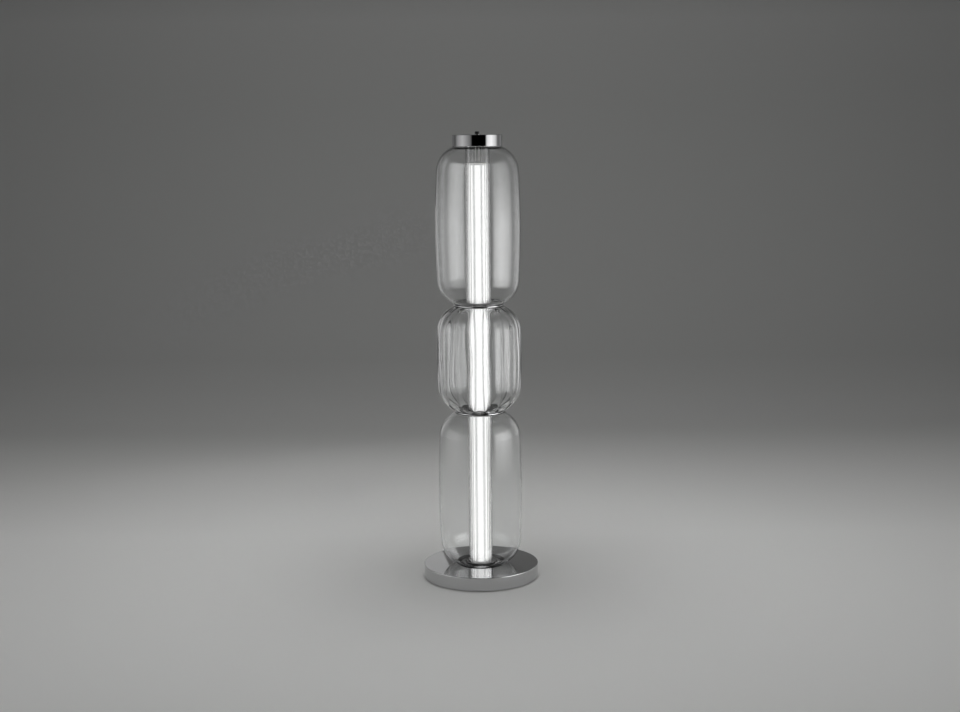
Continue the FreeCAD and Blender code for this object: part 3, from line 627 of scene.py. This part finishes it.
finished(base_cover("base_cover_polished"), "base_cover", CHROME)
finished(column_foot("column_foot_turned"), "column_foot", ANODISED)
for node, z in (("lower_joint_disc", LOWER_DISC_Z), ("upper_joint_disc", UPPER_DISC_Z)):
    finished(joint_disc(node + "_turned", z), node, CHROME)
finished(top_cap("top_cap_turned"), "top_cap", CHROME)
finished(finial("finial_turned"), "finial", BLACK_NICKEL, "finial")
finished(finial_washer("finial_washer_turned"), "finial_washer", CHROME, "captive_washer")
finished(blown_glass("lower_glass_blown", LOWER_GLASS_Z), "lower_glass", GLASS)
finished(blown_glass("upper_glass_blown", UPPER_GLASS_Z), "upper_glass", GLASS)
finished(ribbed_glass("middle_glass_ribbed", MIDDLE_GLASS_Z), "middle_glass", RIB_GLASS)

# Foot, top of the reeded tube and top of the lit part of each length of the column
COLUMN = (
    ("lower", COLUMN_FOOT_Z, LOWER_DISC_Z - END_GAP, LOWER_DISC_Z - END_GAP),
    ("middle", LOWER_DISC_Z + DISC_T, UPPER_DISC_Z - END_GAP, UPPER_DISC_Z - END_GAP),
    ("upper", UPPER_DISC_Z + DISC_T, SEAT_Z - END_GAP, UPPER_LIT_TOP))
for label, foot, top, lit_top in COLUMN:
    tube = reeded_tube(label + "_tube_reeded", foot, top)
    finished(tube, label + "_reeded_tube", ACRYLIC)
    sleeve = diffuser(label + "_diffuser_lit", foot, lit_top)
    finished(sleeve, label + "_diffuser", SATIN)

CAD_FINISH = {
    RUBBER: ["foot_ring", "cable_gland"],
    SILICONE: [
        side + "_gasket" for side in (
            "lower_foot", "lower_head", "middle_foot", "middle_head", "upper_foot", "upper_head")],
    LACQUER: ["base_plate"],
    ZINC: [
        "base_plate_screws", "driver_screws", "tie_tube", "tube_foot_washer", "tube_foot_nut",
        "column_foot_nut", "clamp_washer", "clamp_nut"],
    CAST: ["base_weight"],
    CHROME: ["seat_plate"],
    CASE_WHITE: ["led_driver"],
    NYLON: ["terminal_block"],
    SHEATH: ["mains_leads", "led_leads"],
    EXTRUSION: ["lower_led_core", "middle_led_core", "upper_led_core"],
    LIGHT: ["lower_led_strips", "middle_led_strips", "upper_led_strips"],
    PLUG_WHITE: ["upper_diffuser_plug"],
}
for material, names in CAD_FINISH.items():
    for name in names:
        for slot in NODES[name].material_slots:
            slot.material = material


# Stage, in metres: pale floor that sweeps up into a grey backdrop, with painted shade behind and above

SWEEP_HALF = 9.0
SWEEP_BACK = 1.9
SWEEP_BEND_R = 1.4
SWEEP_BEND_STEPS = 24
SWEEP_TOP = 6.0
PAPER_ROUGHNESS = 0.9
PAPER_SHEEN = 0.1
PAPER_PALE = (0.60, 0.60, 0.59, 1)
PAPER_GREY = (0.26, 0.26, 0.256, 1)
# Painted shade: the backdrop goes near black towards the top, and the floor's fade to grey behind the lamp
# is partly painted light falloff
PAPER_PAINTED_SHADE = (0.02, 0.02, 0.02, 1)
PAPER_GREY_FALLOFF_Y = (0.4, 2.6)
PAPER_SHADE_Z = (1.7, 3.0)


def sweep():
    """Floor and backdrop in one sheet, pale in front, fading to grey behind and dark above. The grey is the
    backdrop paper's tone, the fade into it is painted light falloff, and the dark top is painted shade.
    """
    bpy.ops.object.select_all(action="DESELECT")
    bpy.ops.mesh.primitive_plane_add(size=1)
    floor = bpy.context.object
    floor.name = "studio_sweep"
    bpy.ops.object.mode_set(mode="EDIT")
    mesh = bmesh.from_edit_mesh(floor.data)
    for vert in mesh.verts:
        x = SWEEP_HALF if vert.co.x > 0 else -SWEEP_HALF
        y = SWEEP_BACK if vert.co.y > 0 else -SWEEP_HALF
        vert.co = Vector((x, y, 0))
    bpy.ops.mesh.select_all(action="DESELECT")
    bpy.ops.mesh.select_mode(type="EDGE")
    mesh.edges.ensure_lookup_table()
    for edge in mesh.edges:
        if all(vert.co.y > 0 for vert in edge.verts):
            edge.select_set(True)
    bmesh.update_edit_mesh(floor.data)
    bend = arc(0, SWEEP_BEND_R, SWEEP_BEND_R, -math.pi / 2, 0, SWEEP_BEND_STEPS)
    bend.append((SWEEP_BEND_R, SWEEP_TOP))
    for (y0, z0), (y1, z1) in zip(bend, bend[1:]):
        bpy.ops.mesh.extrude_edges_move(TRANSFORM_OT_translate={"value": (0, y1 - y0, z1 - z0)})
    bpy.ops.object.mode_set(mode="OBJECT")
    bpy.ops.object.shade_smooth()
    mat, nodes, links, shader, vector = new_material("studio_paper")
    shader.inputs["Roughness"].default_value = PAPER_ROUGHNESS
    shader.inputs["Specular IOR Level"].default_value = PAPER_SHEEN
    place = axes(nodes, links, vector)
    # Painted light falloff: the pale floor darkens behind the lamp into the grey backdrop
    behind = span(nodes, links, place["Y"], *PAPER_GREY_FALLOFF_Y, 0.0, 1.0)
    # Painted shade: the backdrop turns near black towards the top
    above = span(nodes, links, place["Z"], *PAPER_SHADE_Z, 0.0, 1.0)
    tone = blended(nodes, links, behind, PAPER_PALE, PAPER_GREY)
    links.new(blended(nodes, links, above, tone, PAPER_PAINTED_SHADE), shader.inputs["Base Color"])
    floor.data.materials.append(mat)


# Lights

TENT_R = 1.45
TENT_H = 2.4
TENT_STEPS = 144
TENT_TURN_DEG = 150.0
TENT_HEM_Z = 0.32
TENT_LOW_Z = 0.85
TENT_HIGH_Z = 1.12
TENT_LOW_GAIN = 2.6
TENT_TOP_GAIN = 0.1
# Azimuth from the camera in degrees, positive to the right, and brightness there
TENT_LIGHT = (
    (-148, 0.20), (-118, 0.10), (-100, 0.40), (-70, 0.70), (-30, 0.22), (-23, 0.0), (37, 0.0),
    (46, 1.25), (66, 1.65), (89, 1.00), (104, 0.22), (112, 0.18), (132, 0.30), (148, 0.12))
# Just outside the reeded tubes, in millimetres
GLOW_R = 31.2
GLOW_STEPS = 48
GLOW_STRENGTH = 48.0


def light_material(name):
    """Material that gives light and reflects nothing."""
    mat, nodes, links, shader, vector = new_material(name)
    shader.inputs["Base Color"].default_value = (0, 0, 0, 1)
    shader.inputs["Specular IOR Level"].default_value = 0.0
    return mat, nodes, links, shader, vector


def tent_light(nodes, links, vector):
    """Colour bands by azimuth, strength by height, and how solid the tent is above its hem."""
    place = axes(nodes, links, vector)
    front = nodes.new("ShaderNodeMath")
    front.operation = "MULTIPLY"
    front.inputs[1].default_value = -1.0
    links.new(place["Y"], front.inputs[0])
    turn = nodes.new("ShaderNodeMath")
    turn.operation = "ARCTAN2"
    links.new(place["X"], turn.inputs[0])
    links.new(front.outputs["Value"], turn.inputs[1])
    bands = nodes.new("ShaderNodeValToRGB")
    links.new(span(nodes, links, turn.outputs["Value"], -math.pi, math.pi, 0.0, 1.0), bands.inputs["Fac"])
    stops = bands.color_ramp.elements
    stops.remove(stops[1])
    peak = max(light for _, light in TENT_LIGHT)
    for k, (azimuth, light) in enumerate(TENT_LIGHT):
        position = (azimuth + 180) / 360
        stop = stops[0] if k == 0 else stops.new(position)
        stop.position = position
        stop.color = (light / peak, light / peak, light / peak, 1)
    fade = span(nodes, links, place["Z"], TENT_HIGH_Z, TENT_H, peak, TENT_TOP_GAIN * peak)
    gain = span(nodes, links, place["Z"], TENT_LOW_Z, TENT_HIGH_Z, TENT_LOW_GAIN * peak, fade)
    solid = span(nodes, links, place["Z"], 0.0, TENT_HEM_Z, 0.0, 1.0)
    return bands.outputs["Color"], gain, solid


def light_tent():
    """Round tent of soft light that shows only in reflections.

    Its dark front gives the chrome a black band, and its hem fades into the floor.
    """
    bpy.ops.object.select_all(action="DESELECT")
    bpy.ops.mesh.primitive_cylinder_add(
        vertices=TENT_STEPS, radius=TENT_R, depth=TENT_H, end_fill_type="NOTHING")
    tent = bpy.context.object
    tent.name = "light_tent"
    bpy.ops.object.mode_set(mode="EDIT")
    bpy.ops.transform.translate(value=(0, 0, TENT_H / 2))
    bpy.ops.mesh.select_all(action="DESELECT")
    bpy.ops.mesh.select_mode(type="FACE")
    mesh = bmesh.from_edit_mesh(tent.data)
    for face in mesh.faces:
        middle = face.calc_center_median()
        face.select_set(abs(math.degrees(math.atan2(middle.x, -middle.y))) > TENT_TURN_DEG)
    bmesh.update_edit_mesh(tent.data)
    bpy.ops.mesh.delete(type="FACE")
    bpy.ops.object.mode_set(mode="OBJECT")
    tent.visible_camera = False
    tent.visible_diffuse = False
    tent.visible_shadow = False
    mat, nodes, links, shader, vector = light_material("tent_light")
    color, gain, solid = tent_light(nodes, links, vector)
    links.new(color, shader.inputs["Emission Color"])
    links.new(gain, shader.inputs["Emission Strength"])
    path = nodes.new("ShaderNodeLightPath")
    mirrored = span(nodes, links, path.outputs["Glossy Depth"], 0.0, 1.0, 0.0, solid)
    links.new(mirrored, shader.inputs["Alpha"])
    tent.data.materials.append(mat)


def column_glow():
    """Light that the lit column throws on the floor and the backdrop."""
    bpy.ops.object.select_all(action="DESELECT")
    height = (UPPER_LIT_TOP - COLUMN_FOOT_Z) * MM
    bpy.ops.mesh.primitive_cylinder_add(
        vertices=GLOW_STEPS, radius=GLOW_R * MM, depth=height, end_fill_type="NOTHING",
        location=(0, 0, COLUMN_FOOT_Z * MM + height / 2))
    glow = bpy.context.object
    glow.name = "column_glow"
    glow.visible_camera = False
    glow.visible_glossy = False
    glow.visible_transmission = False
    glow.visible_shadow = False
    mat, nodes, links, shader, _ = light_material("column_glow")
    shader.inputs["Emission Color"].default_value = GLOW_WARM
    side = nodes.new("ShaderNodeNewGeometry")
    outward = span(nodes, links, side.outputs["Backfacing"], 0.0, 1.0, GLOW_STRENGTH, 0.0)
    links.new(outward, shader.inputs["Emission Strength"])
    glow.data.materials.append(mat)


def softbox(name, location, aim, width, height, power, shows=True):
    """Area lamp turned to its aim; one that does not show gives light without a reflection."""
    lamp = bpy.data.lights.new(name, "AREA")
    lamp.shape = "RECTANGLE"
    lamp.size = width
    lamp.size_y = height
    lamp.energy = power
    holder = bpy.data.objects.new(name, lamp)
    bpy.context.scene.collection.objects.link(holder)
    holder.location = location
    holder.rotation_euler = (Vector(aim) - Vector(location)).to_track_quat("-Z", "Y").to_euler()
    holder.visible_camera = False
    holder.visible_glossy = shows
    holder.visible_transmission = False


AIR_LOW = (0.30, 0.303, 0.306, 1)
AIR_HIGH = (0.07, 0.07, 0.07, 1)
AIR_RISE = (0.35, 0.75)


def studio_air():
    """World light: soft grey near the horizon, dim overhead."""
    world = bpy.data.worlds.new("studio_air")
    bpy.context.scene.world = world
    world.use_nodes = True
    nodes = world.node_tree.nodes
    links = world.node_tree.links
    compass = nodes.new("ShaderNodeTexCoord")
    way = axes(nodes, links, compass.outputs["Generated"])
    rise = span(nodes, links, way["Z"], *AIR_RISE, 0.0, 1.0)
    links.new(blended(nodes, links, rise, AIR_LOW, AIR_HIGH), nodes["Background"].inputs["Color"])


sweep()
light_tent()
column_glow()
softbox("back_left_panel", location=(-0.72, 1.5, 0.62), aim=(-0.1, 0, 0.3), width=1.2, height=0.6, power=0.7)
softbox(
    "top_softbox", location=(0, 0.2, 3.6), aim=(0, 0.2, 0), width=3.2, height=3.2, power=66, shows=False)
studio_air()


# Camera at the photograph's place

CAMERA_DISTANCE = 3.728
CAMERA_HEIGHT = 1.1387
CAMERA_DOWN_DEG = 8.44
CAMERA_ROLL_DEG = -0.55
CAMERA_SIDE = 0.002
FOCAL_PIXELS = 1455.0
FRAME_PIXELS = 960.0
SENSOR_MM = 36.0

lens = bpy.data.cameras.new("photo_camera")
lens.sensor_width = SENSOR_MM
lens.lens = FOCAL_PIXELS / FRAME_PIXELS * SENSOR_MM
camera = bpy.data.objects.new("photo_camera", lens)
bpy.context.scene.collection.objects.link(camera)
tilt = Matrix.Rotation(math.radians(90 - CAMERA_DOWN_DEG), 4, "X")
roll = Matrix.Rotation(math.radians(CAMERA_ROLL_DEG), 4, "Z")
camera.matrix_world = Matrix.Translation((CAMERA_SIDE, -CAMERA_DISTANCE, CAMERA_HEIGHT)) @ tilt @ roll
bpy.context.scene.camera = camera
bpy.context.scene.view_settings.view_transform = "Standard"
